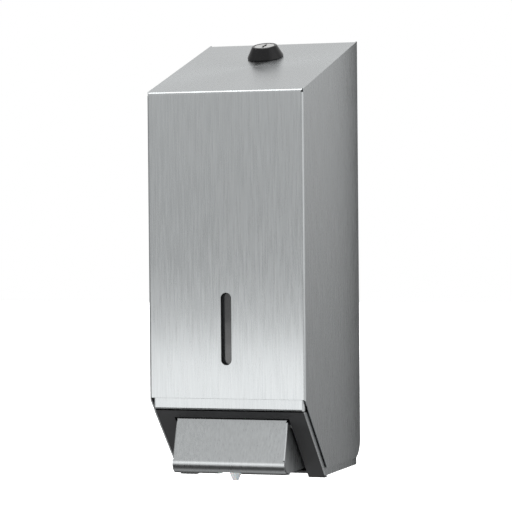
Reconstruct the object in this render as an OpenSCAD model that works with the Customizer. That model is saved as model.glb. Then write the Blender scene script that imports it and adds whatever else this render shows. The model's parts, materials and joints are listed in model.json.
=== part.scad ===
// Wall-mounted soap dispenser: a folded steel cover over a refillable reservoir, with a horizontal
// piston pump that a push lever works.
// X runs to the right, Y into the wall (the back plate's rear face is at Y = 0) and Z up.
// The origin is the centre of the wall screw pattern, on the back plate's rear face.
// Heights named _h below are measured from the lower edge of the base.

/* [Cover] */
// Outer width of the cover
cover_w = 105; // [98:1:130]
// Distance from the wall to the cover's front face
cover_d = 125; // [120:1:150]
// Height of the cover's rear edge
cover_h = 281; // [265:1:340]
// How far the top falls from the wall to the front
top_fall = 38; // [20:1:45]
// Height and depth of the 45 degree cut at the lower front
front_cut = 47.5; // [44:0.5:49]
// Thickness of the cover sheet
cover_t = 1; // [0.8:0.1:1.2]
// Outer radius of the cover's bends
cover_bend_r = 2; // [1.5:0.1:3]
// Gap between the cover's rear edge and the wall
rear_gap = 1; // [0.5:0.1:2]
// Radius of the cover's lower rear corners, about the hinge
hinge_corner_r = 12.5; // [10:0.5:14]

/* [Viewing slot] */
// Width of the slot
slot_w = 7; // [5:0.5:10]
// Length of the slot
slot_l = 46; // [30:1:70]
// Height of the slot's middle
slot_mid_h = 97; // [85:1:130]

/* [Base] */
// Gap between the cover's side and the base's side
side_gap = 0.65; // [0.4:0.05:1.2]
// Thickness of the base sheet
base_t = 1; // [0.8:0.1:1.2]
// How far the base shows below the cover's side
base_strip_h = 5; // [3:0.5:6]
// Height of the apron's lower edge
apron_h = 45.2; // [44:0.1:47]
// How far the base's slanted face stands out of the cover's cut
face_stand = 3.1; // [2:0.1:4]
// Thickness of the back plate
back_t = 1.2; // [1:0.1:2]
// Height of the back plate's upper edge
back_top_h = 262; // [255:1:320]

/* [Wall screws] */
// Distance between the screws across
screw_dx = 60; // [50:1:70]
// Distance between the screws up and down
screw_dz = 160; // [120:1:180]
// Height of the pattern's middle
screw_mid_h = 152; // [140:1:170]
// Diameter of the screw holes
screw_hole_d = 5.5; // [4:0.1:6.5]

/* [Lever] */
// Width of the lever
lever_w = 75.3; // [60:0.1:78]
// Thickness of the lever sheet
lever_t = 0.8; // [0.6:0.1:1]
// Lean of the lever's face from the vertical
lever_lean = 17.6; // [15:0.1:20]
// Radius of the rolled lip
lip_r = 6.8; // [5.5:0.1:7.5]
// Width of the lip's notch for the nozzle
notch_w = 15; // [11:0.5:18]
// Travel of the lever
lever_travel = 20; // [15:1:20]
// Diameter of the pivot rod
rod_d = 3; // [2.5:0.1:4]

/* [Pump] */
// Bore of the pump cylinder
pump_bore = 18.1; // [16:0.1:20]
// Wall of the pump cylinder
pump_wall = 3.45; // [2.5:0.05:4]
// Height of the pump's axis
pump_h = 16.3; // [15.5:0.1:17]
// Diameter of the plunger's stem
stem_d = 10; // [9:0.1:11]
// Wire diameter of the return spring
spring_wire = 1.3; // [1:0.1:1.5]
// Diameter of the nozzle at its root
nozzle_d = 7; // [6:0.1:8]
// Diameter of the nozzle at its tip
nozzle_tip_d = 3.7; // [3:0.1:5]

/* [Reservoir] */
// Width of the reservoir
res_w = 92; // [80:1:94]
// Height of the reservoir's upper face
res_top_h = 200; // [170:1:204]
// Wall of the reservoir
res_wall = 2; // [1.5:0.1:3]
// Radius of the reservoir's upright edges
res_edge_r = 8; // [4:0.5:12]

/* [Lock] */
// Distance from the wall to the lock's axis, on the cover's top
lock_back = 39.5; // [36:0.5:50]
// Diameter of the lock's threaded body
lock_d = 16; // [15:0.5:18]
// Diameter of the bezel's foot
bezel_d = 24; // [22:0.5:28]
// Height of the bezel
bezel_h = 8.2; // [6:0.1:10]

/* [Hidden] */
$fn = 64;

fit_gap = 0.05;                 // clearance of running fits, on the radius
seat_gap = 0.1;                 // clearance between parts that seat in each other
arc_steps = 10;                 // facets of a bend in a sheet

// Cover
hw = cover_w / 2;
front_y = -cover_d;
rear_y = -rear_gap;
cover_z = base_strip_h;                         // lower edge of the cover
cut_z = cover_z + front_cut;
cut_y = front_y + front_cut;
rear_top_z = cover_z + cover_h;
front_top_z = rear_top_z - top_fall;
top_slope = atan(top_fall / (cover_d - rear_gap));
hinge_y = rear_y - hinge_corner_r;
hinge_z = cover_z + hinge_corner_r;
stud_r = 3;
stud_l = 6;
top_gap = 0.25;                                 // between the top sheet and the side sheets
corner_relief = 2;                              // cut at the ends of the front bend
rear_flange = 9;                                // return flange along the rear of the top

// Base
base_x = hw - cover_t - side_gap;               // outer face of the base's sides
side_end_y = -5;                                // rear end of the base's sides
face_sum = cut_y + cover_z - face_stand * sqrt(2);   // y + z all over the slanted face
apron_gap = 1;                                  // behind the cover's front sheet
apron_y = front_y + cover_t + apron_gap;
apron_top_h = 62;
apron_roll_r = 1.2;
apron_flange = 9;
slit_w = 0.8;                                   // slit between the apron and the side below it
bush_r = stud_r + 1.5;
bush_flange_r = 6.5;
plate_x = base_x - base_t;                      // outer face of the back plate's side flanges
plate_flange_d = 20;                            // depth of those flanges
plate_top_x = 46;                               // half width of the plate above them
rivet_r = 2;
screw_head_r = 2.8;
rivet_places = [[-9, 40], [-15, 52], [-15, 30]];            // Y, Z

// Front frame and lever
frame_gap = 0.15;
frame_x = plate_x - frame_gap;
frame_t = 3.5;                                  // thickness square to the slanted face
frame_top_z = apron_h - slit_w - 0.1;
frame_drop = 1.6;                               // the bars reach this far below the sides
open_gap = 1;                                   // between the lever and the frame's opening
open_x = lever_w / 2 + open_gap;
top_bar = 4.7;
open_top_z = frame_top_z - top_bar;
cheek_t = 2;
floor_t = 1.6;
floor_front_y = face_sum + 10;                  // front edge of the floor between the cheeks
floor_rear_y = -30;
lever_top_z = open_top_z - 0.4;
lever_top_y = face_sum - open_top_z + 1;
lever_bend = 1.0;                               // outer radius of the bend at its top
lever_face_h = 26.3;                            // height of the lever's flat face
lip_y = lever_top_y - lever_face_h * tan(lever_lean);
lip_z = lever_top_z - lever_face_h;
lip_cy = lip_y + lip_r * cos(lever_lean);
lip_cz = lip_z - lip_r * sin(lever_lean);
lip_flange = 5.2;
pivot_y = lever_top_y + 8;
pivot_z = lever_top_z - 4.5;
boss_r = 3.1;
carrier_x = lever_w / 2 - lever_t - 0.4;        // half width of the carrier
boss_l = 7;
rod_l = 2 * open_x + 2 * cheek_t + 10;
lever_corners = [
    [lever_top_y + 4, lever_top_z], [lever_top_y, lever_top_z], [lip_y, lip_z]];

// Pump, along Y
pusher_drop = pivot_z - pump_h;                 // arm of the lever on the plunger
pusher_y = lever_top_y + 2.1;
pusher_r = 4;
yoke_y = pusher_y + pusher_r + 0.15;            // the plunger's face that the lever pushes
yoke_t = 2.8;
yoke_x = 15;
spout_y = yoke_y + 0.35;
spout_r = 5.5;
stroke = 7;
cap_t = 3;                                      // cylinder cap, in front of the cylinder
spring_turns = 4.5;
spring_r = 9;
spring_solid = (spring_turns + 1) * spring_wire;    // length of the closed spring
spring_seat_r = 10.5;                           // collar behind the spout, for the spring
spring_seat_t = 1.5;
spring_seat_y = spout_y + spout_r + 0.3;
cylinder_front_y = spring_seat_y + spring_seat_t + stroke + spring_solid + 0.5 + cap_t;
cylinder_l = 48;
cylinder_rear_y = cylinder_front_y + cylinder_l;
bore_r = pump_bore / 2;
cylinder_r = bore_r + pump_wall;
rear_wall_t = 2.5;
piston_l = 6;
piston_y = cylinder_front_y + 22;               // front face of the piston at rest
inlet_y = cylinder_rear_y - 8;
inlet_r = 7;
inlet_top_z = 46;
ball_r = 3.6;
ball_seat_z = 27.5;                             // floor of the inlet ball's chamber
o_ring_z = 41;
o_ring_r = 0.9;                                 // of the section
o_ring_mid_r = inlet_r + seat_gap - 0.03 - o_ring_r;
piston_ring_r = 1;
nozzle_root_z = 4.6;
nozzle_tip_z = -0.9;
strap_y = cylinder_front_y + 14;
strap_w = 8;
strap_x = 20;
bracket_screw_places = [[-12, 32], [12, 32]];               // X, Z
floor_screw_places = [for (x = [-14, 14], y = [face_sum + 17, -36]) [x, y]];

// Reservoir
res_front_y = front_y + cover_t + 3.2;
res_rear_y = -20;
res_bottom_z = 50;
neck_r = 10;
neck_bottom_z = 36;
mouth_x = 26;
collar_t = 2;                                   // collar round the mouth, on the bottle's top
collar_rim = 1.5;
bottle_top_z = res_top_h - collar_t;
mouth_back_y = front_y + cover_t + 61;
mouth_front_y = front_y + cover_t + 23;
lid_hinge_y = mouth_back_y + 7;
lid_t = 2.5;
gasket_t = 1.15;
lid_x = 31;
rail_low_z = 104;                               // rail and holder that carry the reservoir
rail_h = 32;
rail_neck = 5;                                  // half widths of the rail
rail_head = 9;
rail_neck_d = 4;
rail_head_d = 3;
rail_gap = 0.4;
holder_x = 14;
holder_rivet_z = [rail_low_z + 8, rail_low_z + 24];
knuckle_r = 2.4;
lid_pin_r = 1;
lid_hinge_z = res_top_h + seat_gap / 2 + gasket_t + knuckle_r;

// Lock, in its own frame: Z out of the cover's top, from the sheet's outer face
lock_y = -lock_back;
plug_r = 6.2;
plug_head_r = 6.7;
barrel_l = 20;                                  // below the sheet's outer face
barrel_head = 6;
cam_z = -22;
cam_t = 2.2;
cam_w = 9;
cam_l = 20;                                     // from the axis to the middle of the cam's end
washer_t = 0.8;
nut_seat_z = -cover_t - washer_t - 0.02;
keeper_x = 10.5;
keeper_w = 14;
keeper_t = 1.5;

// ---------- helpers ----------

function unit(v) = v / norm(v);

// Points of the arc of radius r that rounds the corner b between a and c
function round_corner(a, b, c, r, n = arc_steps) =
    let (u = unit(a - b),
         v = unit(c - b),
         half = acos(u * v) / 2,
         centre = b + unit(u + v) * r / sin(half),
         first = b + u * r / tan(half) - centre,
         last = b + v * r / tan(half) - centre)
    [for (i = [0:n]) centre + unit(first * (n - i) + last * i) * r];

// The point a distance t to the left (side 1) or right (side -1) of p, seen along the way a to b
function beside(p, a, b, t, side) =
    let (d = unit(b - a)) p + side * t * [-d[1], d[0]];

// Where the inner faces of two plates of thickness t meet, inside the corner b
function inner_corner(a, b, c, t) =
    let (u = unit(a - b), v = unit(c - b), half = acos(u * v) / 2)
    b + unit(u + v) * t / sin(half);

// Outline of a sheet that follows the corners pts, all bent the same way, with outer bends r
function sheet_outline(pts, t, r, side) =
    let (n = len(pts) - 1,
         inner = [for (i = [0:n])
             i == 0 ? beside(pts[0], pts[0], pts[1], t, side)
             : i == n ? beside(pts[n], pts[n - 1], pts[n], t, side)
             : inner_corner(pts[i - 1], pts[i], pts[i + 1], t)])
    concat(
        [pts[0]],
        [for (i = [1:n - 1]) each round_corner(pts[i - 1], pts[i], pts[i + 1], r)],
        [pts[n], inner[n]],
        [for (i = [n - 1:-1:1]) each round_corner(inner[i + 1], inner[i], inner[i - 1], r - t)],
        [inner[0]]);

// Height of the cover's top face at a given y
function top_z(y) = rear_top_z + (y - rear_y) * tan(top_slope);

// Moves heights above the base's lower edge into the part's frame
module on_base() {
    translate([0, 0, -screw_mid_h]) children();
}

// Extrudes a Y-Z outline along X, from x0 to x1
module along_x(x0, x1) {
    translate([x0, 0, 0]) rotate([90, 0, 90]) linear_extrude(x1 - x0) children();
}

// Box between two corners
module block(low, high) {
    translate(low) cube(high - low);
}

// Cylinder along X between x0 and x1
module bar_x(r, x0, x1, y, z) {
    translate([x0, y, z]) rotate([0, 90, 0]) cylinder(r = r, h = x1 - x0);
}

// Cylinder along Y between y0 and y1
module bar_y(r, y0, y1, x, z) {
    translate([x, y0, z]) rotate([-90, 0, 0]) cylinder(r = r, h = y1 - y0);
}

// Both sides, mirrored about X = 0
module both_sides() {
    children();
    mirror([1, 0, 0]) children();
}

// The lock's own frame on the cover's top
module at_lock() {
    on_base() translate([0, lock_y, top_z(lock_y)]) rotate([top_slope, 0, 0]) children();
}

// Upright box with round upright edges, between x0..x1 and y0..y1
module round_box(x0, x1, y0, y1, z0, z1, r) {
    translate([0, 0, z0]) linear_extrude(z1 - z0) {
        translate([x0 + r, y0]) square([x1 - x0 - 2 * r, y1 - y0]);
        translate([x0, y0 + r]) square([x1 - x0, y1 - y0 - 2 * r]);
        for (x = [x0 + r, x1 - r], y = [y0 + r, y1 - r])
            translate([x, y]) circle(r);
    }
}

// ---------- cover ----------

// Outline of the cover from the side
module cover_side_outline() {
    polygon(concat(
        [[cut_y, cover_z], [front_y, cut_z], [front_y, front_top_z], [rear_y, rear_top_z]],
        round_corner([rear_y, rear_top_z], [rear_y, cover_z], [cut_y, cover_z], hinge_corner_r)));
}

module cover_shell() {
    inner_x = hw - cover_t;
    color("silver") difference() {
        on_base() union() {
            intersection() {
                translate([0, 0, cover_z - 1]) linear_extrude(cover_h + 2)
                    polygon(sheet_outline(
                        [[-hw, rear_y], [-hw, front_y], [hw, front_y], [hw, rear_y]],
                        cover_t, cover_bend_r, 1));
                difference() {
                    along_x(-hw - 1, hw + 1) cover_side_outline();
                    block([-inner_x, front_y - 1, front_top_z - corner_relief],
                          [inner_x, rear_y + 1, rear_top_z + 1]);
                }
            }
            along_x(-inner_x + top_gap, inner_x - top_gap)
                polygon(sheet_outline(
                    [[front_y, front_top_z - corner_relief - 0.5], [front_y, front_top_z],
                     [rear_y, rear_top_z], [rear_y, rear_top_z - rear_flange]],
                    cover_t, cover_bend_r, -1));
        }
        on_base() {
            for (end = [-1, 1])
                bar_y(slot_w / 2, front_y - 1, front_y + cover_t + 1,
                      0, slot_mid_h + end * (slot_l - slot_w) / 2);
            block([-slot_w / 2, front_y - 1, slot_mid_h - (slot_l - slot_w) / 2],
                  [slot_w / 2, front_y + cover_t + 1, slot_mid_h + (slot_l - slot_w) / 2]);
        }
        at_lock() translate([0, 0, -cover_t - 1])
            cylinder(r = lock_d / 2 + seat_gap, h = cover_t + 2);
    }
}

// The pins that the cover turns on, welded to its inner faces
module hinge_studs() {
    color("lightgrey") on_base() both_sides() {
        bar_x(stud_r, hw - cover_t - stud_l, hw - cover_t, hinge_y, hinge_z);
    }
}

// ---------- lock ----------

module lock_bezel() {
    top_r = 8.3;
    rim = 1.2;
    color("black") at_lock() rotate_extrude() polygon(concat(
        [[lock_d / 2 + seat_gap, 0.02], [bezel_d / 2, 0.02], [bezel_d / 2, rim]],
        round_corner([bezel_d / 2, rim], [top_r, bezel_h], [plug_head_r + seat_gap, bezel_h], 1),
        [[plug_head_r + seat_gap, bezel_h], [plug_head_r + seat_gap, barrel_head + seat_gap],
         [lock_d / 2 + seat_gap, barrel_head + seat_gap]]));
}

module lock_barrel() {
    color("lightgrey") at_lock() difference() {
        translate([0, 0, -barrel_l]) cylinder(r = lock_d / 2, h = barrel_l + barrel_head);
        translate([0, 0, -barrel_l - 1])
            cylinder(r = plug_r + fit_gap, h = barrel_l + barrel_head + 2);
    }
}

module lock_washer() {
    color("silver") at_lock() translate([0, 0, nut_seat_z]) difference() {
        cylinder(r = lock_d / 2 + 3.5, h = washer_t);
        translate([0, 0, -1]) cylinder(r = lock_d / 2 + seat_gap, h = 3);
    }
}

module lock_nut() {
    nut_h = 4;
    color("silver") at_lock() translate([0, 0, nut_seat_z - nut_h - 0.02]) difference() {
        cylinder(d = lock_d + 7, h = nut_h, $fn = 6);
        translate([0, 0, -1]) cylinder(r = lock_d / 2 + seat_gap, h = nut_h + 2);
    }
}

module lock_plug() {
    slit_l = 9.6;
    slit_t = 1.5;
    slit_depth = 4;
    head_h = bezel_h - 0.2 - barrel_head - seat_gap;
    square_end = 6;
    color("silver") at_lock() difference() {
        union() {
            translate([0, 0, barrel_head + seat_gap]) cylinder(r = plug_head_r, h = head_h);
            translate([0, 0, cam_z]) cylinder(r = plug_r, h = barrel_head + seat_gap - cam_z);
            block([-square_end / 2, -square_end / 2, cam_z - cam_t],
                  [square_end / 2, square_end / 2, cam_z]);
        }
        block([-slit_t / 2, -slit_l / 2, bezel_h - slit_depth],
              [slit_t / 2, slit_l / 2, bezel_h + 1]);
        translate([0, 0, bezel_h - slit_depth]) cylinder(r = slit_t, h = slit_depth + 1);
        translate([0, 0, cam_z - cam_t - 1]) cylinder(r = 1.5 + fit_gap, h = 11);
    }
}

// The cam points to the wall at rest and sideways, behind the keeper's lip, when locked
module lock_cam() {
    square_end = 6 + 2 * seat_gap;
    color("grey") at_lock() translate([0, 0, cam_z - cam_t]) difference() {
        union() {
            cylinder(r = cam_w / 2 + 1.5, h = cam_t);
            block([-cam_w / 2, 0, 0], [cam_w / 2, cam_l, cam_t]);
            translate([0, cam_l, 0]) cylinder(r = cam_w / 2, h = cam_t);
        }
        block([-square_end / 2, -square_end / 2, -1], [square_end / 2, square_end / 2, cam_t + 1]);
    }
}

module cam_screw() {
    color("silver") at_lock() {
        translate([0, 0, cam_z - cam_t - 1.8]) cylinder(r = 4, h = 1.8);
        translate([0, 0, cam_z - cam_t]) cylinder(r = 1.5, h = 8);
    }
}

// ---------- base ----------

module back_plate() {
    low_z = floor_t + 0.1;
    flange_top_z = 58;
    shoulder_z = apron_top_h + 4;
    color("silver") difference() {
        on_base() union() {
            translate([0, 0, low_z]) linear_extrude(flange_top_z - low_z)
                polygon(sheet_outline(
                    [[-plate_x, -plate_flange_d], [-plate_x, 0], [plate_x, 0],
                     [plate_x, -plate_flange_d]],
                    back_t, 2.2, -1));
            rotate([90, 0, 0]) linear_extrude(back_t)
                polygon([
                    [-plate_x + 3, flange_top_z - 1], [plate_x - 3, flange_top_z - 1],
                    [plate_top_x, shoulder_z], [plate_top_x, back_top_h - 8],
                    [plate_top_x - 8, back_top_h], [-plate_top_x + 8, back_top_h],
                    [-plate_top_x, back_top_h - 8], [-plate_top_x, shoulder_z]]);
        }
        for (x = [-1, 1], z = [-1, 1])
            bar_y(screw_hole_d / 2, -back_t - 1, 1, x * screw_dx / 2, z * screw_dz / 2);
        on_base() {
            both_sides() {
                bar_x(bush_r + fit_gap, plate_x - back_t - 1, plate_x + 1, hinge_y, hinge_z);
                for (place = rivet_places)
                    bar_x(rivet_r + fit_gap, plate_x - back_t - 1, plate_x + 1,
                          place[0], place[1]);
            }
            for (place = bracket_screw_places)
                bar_y(1.5 + fit_gap, -back_t - 1, 1, place[0], place[1]);
            for (z = holder_rivet_z)
                bar_y(rivet_r + fit_gap, -back_t - 1, 1, 0, z);
        }
    }
}

// Outline of the base's sides and apron from the side
module base_side_outline() {
    polygon([
        [side_end_y, 0], [face_sum, 0], [face_sum - apron_h, apron_h], [apron_y, apron_h],
        [apron_y, apron_top_h], [-70, apron_top_h], [-40, apron_top_h - 20],
        [side_end_y, apron_top_h - 20]]);
}

module base_shell() {
    roll_top_z = apron_h + 3;
    color("silver") on_base() difference() {
        union() {
            intersection() {
                translate([0, 0, -1]) linear_extrude(apron_top_h + 2)
                    polygon(sheet_outline(
                        [[-base_x, side_end_y], [-base_x, apron_y], [base_x, apron_y],
                         [base_x, side_end_y]],
                        base_t, 2, 1));
                difference() {
                    along_x(-base_x - 1, base_x + 1) base_side_outline();
                    block([-base_x + 2, apron_y - 1, 0], [base_x - 2, apron_y + 2, roll_top_z]);
                }
            }
            along_x(-base_x + 2, base_x - 2)
                polygon(sheet_outline(
                    [[apron_y, roll_top_z], [apron_y, apron_h], [apron_y + apron_flange, apron_h]],
                    base_t, apron_roll_r, 1));
        }
        both_sides() {
            // slit under the apron's return
            block([base_x - 3, apron_y - 1, apron_h - slit_w],
                  [base_x + 1, apron_y + apron_flange, apron_h]);
            bar_x(bush_r + fit_gap, plate_x - 1, base_x + 1, hinge_y, hinge_z);
            for (place = rivet_places)
                bar_x(rivet_r + fit_gap, plate_x - 1, base_x + 1, place[0], place[1]);
        }
    }
}

module base_rivets() {
    head_t = 0.4;
    color("lightgrey") on_base() both_sides() for (place = rivet_places) {
        bar_x(rivet_r, plate_x - back_t, base_x, place[0], place[1]);
        bar_x(rivet_r + 1, base_x, base_x + head_t, place[0], place[1]);
        bar_x(rivet_r + 1, plate_x - back_t - 1, plate_x - back_t, place[0], place[1]);
    }
}

// Plastic bushes in the base's sides, in which the cover's studs turn
module hinge_bushes() {
    inner_x = plate_x - back_t;
    color("dimgrey") on_base() both_sides() difference() {
        union() {
            bar_x(bush_r, inner_x, base_x + 0.2, hinge_y, hinge_z);
            bar_x(bush_flange_r, inner_x - 1, inner_x, hinge_y, hinge_z);
        }
        bar_x(stud_r + fit_gap, inner_x - 2, base_x + 1, hinge_y, hinge_z);
    }
}

// Steel angle whose lip stands in front of the locked cam
module keeper_bracket() {
    cam_y = lock_y - (cam_z - cam_t / 2) * sin(top_slope);
    cam_low_z = top_z(lock_y) + (cam_z - cam_t) * cos(top_slope) - cam_w / 2 * sin(top_slope);
    shelf_z = cam_low_z - 1.2;
    lip_rear_y = cam_y - cam_w / 2 * cos(top_slope) - 2;
    color("silver") on_base() {
        block([keeper_x, -back_t - keeper_t, shelf_z - 14],
              [keeper_x + keeper_w, -back_t, shelf_z]);
        block([keeper_x, lip_rear_y - keeper_t, shelf_z - keeper_t],
              [keeper_x + keeper_w, -back_t, shelf_z]);
        block([keeper_x, lip_rear_y - keeper_t, shelf_z - keeper_t],
              [keeper_x + keeper_w, lip_rear_y, shelf_z + 9]);
    }
}

// ---------- front frame ----------

// Y-Z outline of the frame's slanted band, for all its width
module frame_band_outline() {
    shift = frame_t * sqrt(2);
    polygon([
        [face_sum + frame_drop, -frame_drop], [face_sum + frame_drop + shift, -frame_drop],
        [face_sum - frame_top_z + shift, frame_top_z], [face_sum - frame_top_z, frame_top_z]]);
}

// Y-Z outline of the cheeks beside the lever, which hold its pivot rod
module frame_cheek_outline() {
    polygon([
        [face_sum - frame_top_z + 1.5, frame_top_z], [face_sum + 1.5, 0], [face_sum + 22, 0],
        [face_sum + 22, 12], [pivot_y + 14, frame_top_z]]);
}

module front_frame() {
    ceiling_t = 1.5;
    color([0.16, 0.17, 0.18]) on_base() difference() {
        union() {
            along_x(-frame_x, frame_x) frame_band_outline();
            both_sides() along_x(open_x, open_x + cheek_t) frame_cheek_outline();
            block([-frame_x, face_sum - frame_top_z + 2, frame_top_z - ceiling_t],
                  [frame_x, pivot_y + 14, frame_top_z]);
            block([-frame_x, face_sum + 1, 0], [frame_x, floor_rear_y, floor_t]);
        }
        block([-open_x, face_sum - 60, -frame_drop - 1], [open_x, floor_front_y, open_top_z]);
        bar_x(rod_d / 2 + seat_gap, -frame_x - 1, frame_x + 1, pivot_y, pivot_z);
        for (place = floor_screw_places) translate([place[0], place[1], 0]) {
            translate([0, 0, -1]) cylinder(r = 1.5 + seat_gap, h = floor_t + 2);
            translate([0, 0, -0.1]) cylinder(r1 = screw_head_r + 0.2, r2 = 1.5 + seat_gap, h = 1.4);
        }
    }
}

module pivot_rod() {
    color("lightgrey") on_base() bar_x(rod_d / 2, -rod_l / 2, rod_l / 2, pivot_y, pivot_z);
}

module rod_clips() {
    clip_x = carrier_x - boss_l - 0.2;
    clip_t = 0.8;
    color("grey") on_base() both_sides() difference() {
        bar_x(rod_d / 2 + 1.8, clip_x - clip_t, clip_x, pivot_y, pivot_z);
        bar_x(rod_d / 2 + 0.02, clip_x - clip_t - 1, clip_x + 1, pivot_y, pivot_z);
    }
}

// ---------- lever ----------

// Outline of the lever's sheet: top return, leaning face, rolled lip and lower flange
function lever_outline() =
    let (top = round_corner(lever_corners[0], lever_corners[1], lever_corners[2], lever_bend),
         inner = [for (i = [0:2])
             i == 0 ? lever_corners[0] - [0, lever_t]
             : i == 1 ? inner_corner(lever_corners[0], lever_corners[1], lever_corners[2], lever_t)
             : lever_corners[2] + lever_t * [cos(lever_lean), -sin(lever_lean)]],
         inner_top = round_corner(inner[2], inner[1], inner[0], lever_bend - lever_t),
         turn = 90 + lever_lean,
         steps = 2 * arc_steps)
    concat(
        [lever_corners[0]], top,
        [for (i = [0:steps]) let (a = 180 - lever_lean + turn * i / steps)
            [lip_cy, lip_cz] + lip_r * [cos(a), sin(a)]],
        [[lip_cy + lip_flange, lip_cz - lip_r], [lip_cy + lip_flange, lip_cz - lip_r + lever_t]],
        [for (i = [steps:-1:0]) let (a = 180 - lever_lean + turn * i / steps)
            [lip_cy, lip_cz] + (lip_r - lever_t) * [cos(a), sin(a)]],
        inner_top, [inner[0]]);

// Outline of the lever's side flanges, cut back behind the rolled lip
module lever_flange_outline() {
    flange_low_z = 5;
    clear_r = lip_r - lever_t - 1;
    turn = 90 + lever_lean;
    polygon(concat(
        [[lever_top_y + 4, lever_top_z - 0.5], [lever_top_y + 1, lever_top_z - 0.5],
         [lip_y + 0.4, lip_z + 0.8], [lip_y + 1.6, lip_z + 0.4]],
        [for (i = [0:arc_steps]) let (a = 180 - lever_lean + (turn - 30) * i / arc_steps)
            [lip_cy, lip_cz] + clear_r * [cos(a), sin(a)]],
        [[lip_cy + 3, flange_low_z], [face_sum - 2, flange_low_z],
         [face_sum - 1, flange_low_z + 4], [pivot_y + 5, lever_top_z - 0.5]]));
}

module lever_face() {
    lx = lever_w / 2;
    notch_front_y = lip_cy - 4;
    color("silver") on_base() difference() {
        union() {
            along_x(-lx, lx) polygon(lever_outline());
            both_sides() along_x(lx - lever_t, lx) lever_flange_outline();
        }
        block([-notch_w / 2, notch_front_y, -1],
              [notch_w / 2, lip_cy + lip_flange + 1, lip_z - 4]);
        bar_x(rod_d / 2 + fit_gap, -lx - 1, lx + 1, pivot_y, pivot_z);
    }
}

// Plastic carrier behind the lever's face, with the two fingers that push the plunger
module lever_carrier() {
    half = carrier_x;
    boss_in = half - boss_l;
    plate_t = 2.6;
    upper = 3.5;
    lower = 23;
    color("dimgrey") on_base() difference() {
        union() {
            along_x(-half + 3, half - 3) polygon([
                face_point(upper, 0), face_point(lower, 0),
                face_point(lower, plate_t), face_point(upper, plate_t)]);
            both_sides() {
                bar_x(boss_r, boss_in, half, pivot_y, pivot_z);
                along_x(boss_in + 1, half - 3) polygon([
                    face_point(upper, 0.5), face_point(14, 0.5), [pivot_y, pivot_z - boss_r],
                    [pivot_y - 1, pivot_z + boss_r - 0.2]]);
                bar_x(pusher_r, 7.5, 13.5, pusher_y, pump_h);
                along_x(7.5, 13.5) polygon([
                    face_point(12, 0.5), face_point(lower, 0.5), [pusher_y, pump_h - 3.9],
                    [pusher_y, pump_h + 3.9]]);
            }
        }
        bar_x(rod_d / 2 + fit_gap, -half - 1, half + 1, pivot_y, pivot_z);
        both_sides() on_stud() cylinder(r = 1.5 + seat_gap, h = 8, center = true);
    }
}

// A point a height drop below the lever's top and a distance in behind its sheet
function face_point(drop, depth) =
    [lever_top_y - drop * tan(lever_lean), lever_top_z - drop]
    + (lever_t + 0.05 + depth) * [cos(lever_lean), -sin(lever_lean)];

// Place of the welded stud on the lever's right half, with Z towards the wall
module on_stud() {
    point = face_point(13, 0);
    translate([carrier_x - boss_l - 5.45, point[0], point[1]])
        rotate([-90 - lever_lean, 0, 0]) children();
}

// Studs and nuts that hold the carrier to the lever
module carrier_nuts() {
    color("lightgrey") on_base() both_sides() on_stud() {
        cylinder(r = 1.5, h = 5);
        translate([0, 0, 2.65]) cylinder(d = 6.4, h = 1.8, $fn = 6);
    }
}

// ---------- pump ----------

// Cradle under the cylinder, with a foot along the floor and a wall at the back plate
module pump_bracket() {
    floor_z = floor_t + 0.1;
    cradle_x = 18;
    color([0.16, 0.17, 0.18]) on_base() difference() {
        union() {
            block([-cradle_x, cylinder_front_y + 4, floor_z],
                  [cradle_x, cylinder_rear_y - 4, pump_h]);
            block([-strap_x - 4, strap_y - 6, floor_z], [strap_x + 4, strap_y + 6, pump_h]);
            block([-cradle_x, cylinder_front_y + 4, floor_z], [cradle_x, -back_t, floor_z + 3]);
            block([-cradle_x, -back_t - 3, floor_z], [cradle_x, -back_t, 40]);
            both_sides() block([cradle_x - 3, cylinder_rear_y - 5, floor_z],
                               [cradle_x, -back_t, 16]);
        }
        bar_y(cylinder_r + seat_gap, cylinder_front_y - 1, cylinder_rear_y + 1, 0, pump_h);
        for (place = bracket_screw_places)
            bar_y(1.5 + seat_gap, -back_t - 5, 1, place[0], place[1]);
        for (place = floor_screw_places)
            translate([place[0], place[1], -1]) cylinder(r = 1.5 + fit_gap, h = 5.7);
        for (side = [-1, 1])
            translate([side * strap_x, strap_y, pump_h - 6]) cylinder(r = 1.25 + fit_gap, h = 8);
    }
}

module bracket_screws() {
    color("silver") on_base() for (place = bracket_screw_places) {
        bar_y(1.5, -back_t - 5, 0, place[0], place[1]);
        bar_y(3, -back_t - 5, -back_t - 3, place[0], place[1]);
    }
}

module floor_screws() {
    color("silver") on_base() for (place = floor_screw_places) {
        translate([place[0], place[1], 0.05]) {
            cylinder(r = 1.5, h = 4.5);
            cylinder(r1 = screw_head_r, r2 = 1.5, h = 1.2);
        }
    }
}

module pump_cylinder() {
    color("whitesmoke") on_base() difference() {
        union() {
            bar_y(cylinder_r, cylinder_front_y, cylinder_rear_y, 0, pump_h);
            translate([0, inlet_y, pump_h]) cylinder(r = inlet_r, h = inlet_top_z - pump_h);
        }
        bar_y(bore_r, cylinder_front_y - 1, cylinder_rear_y - rear_wall_t, 0, pump_h);
        translate([0, inlet_y, pump_h]) cylinder(r = 2.6, h = inlet_top_z);
        translate([0, inlet_y, ball_seat_z]) cylinder(r = ball_r + 0.6, h = 8);
        translate([0, inlet_y, o_ring_z]) rotate_extrude()
            translate([o_ring_mid_r - o_ring_r - 0.03, -o_ring_r - 0.2])
                square([3, 2 * o_ring_r + 0.4]);
    }
}

module cylinder_cap() {
    color("white") on_base() difference() {
        union() {
            bar_y(cylinder_r, cylinder_front_y - cap_t, cylinder_front_y, 0, pump_h);
            bar_y(bore_r - seat_gap, cylinder_front_y - 1, cylinder_front_y + 4, 0, pump_h);
        }
        bar_y(stem_d / 2 + fit_gap, cylinder_front_y - 5, cylinder_front_y + 6, 0, pump_h);
    }
}

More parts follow.
